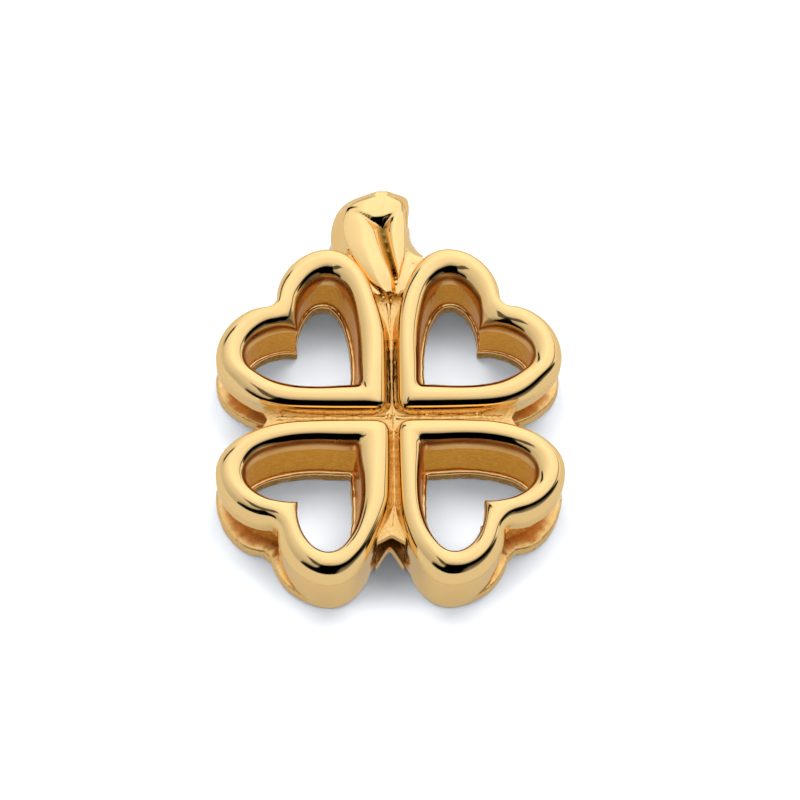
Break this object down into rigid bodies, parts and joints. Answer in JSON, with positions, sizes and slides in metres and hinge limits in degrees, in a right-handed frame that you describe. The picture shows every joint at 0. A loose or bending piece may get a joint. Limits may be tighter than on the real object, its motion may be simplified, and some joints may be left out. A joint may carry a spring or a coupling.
{
  "type": "four leaf clover chain slide pendant",
  "caption": "Hollow polished gold clover pendant of open hearts with rounded rims, a leaf stem, and side windows that let a fine chain slide through.",
  "frame": {"origin": "middle of the clover, on its flat back", "axes": "+Z out of the front, +Y towards the stem, +X to the right seen from the front"},
  "size_m": [0.0142, 0.0171, 0.0045],
  "materials": {
    "gold": "14 carat yellow gold, mirror polished"
  },
  "bodies": {
    "root": {"clover": "gold"}
  },
  "joints": []
}
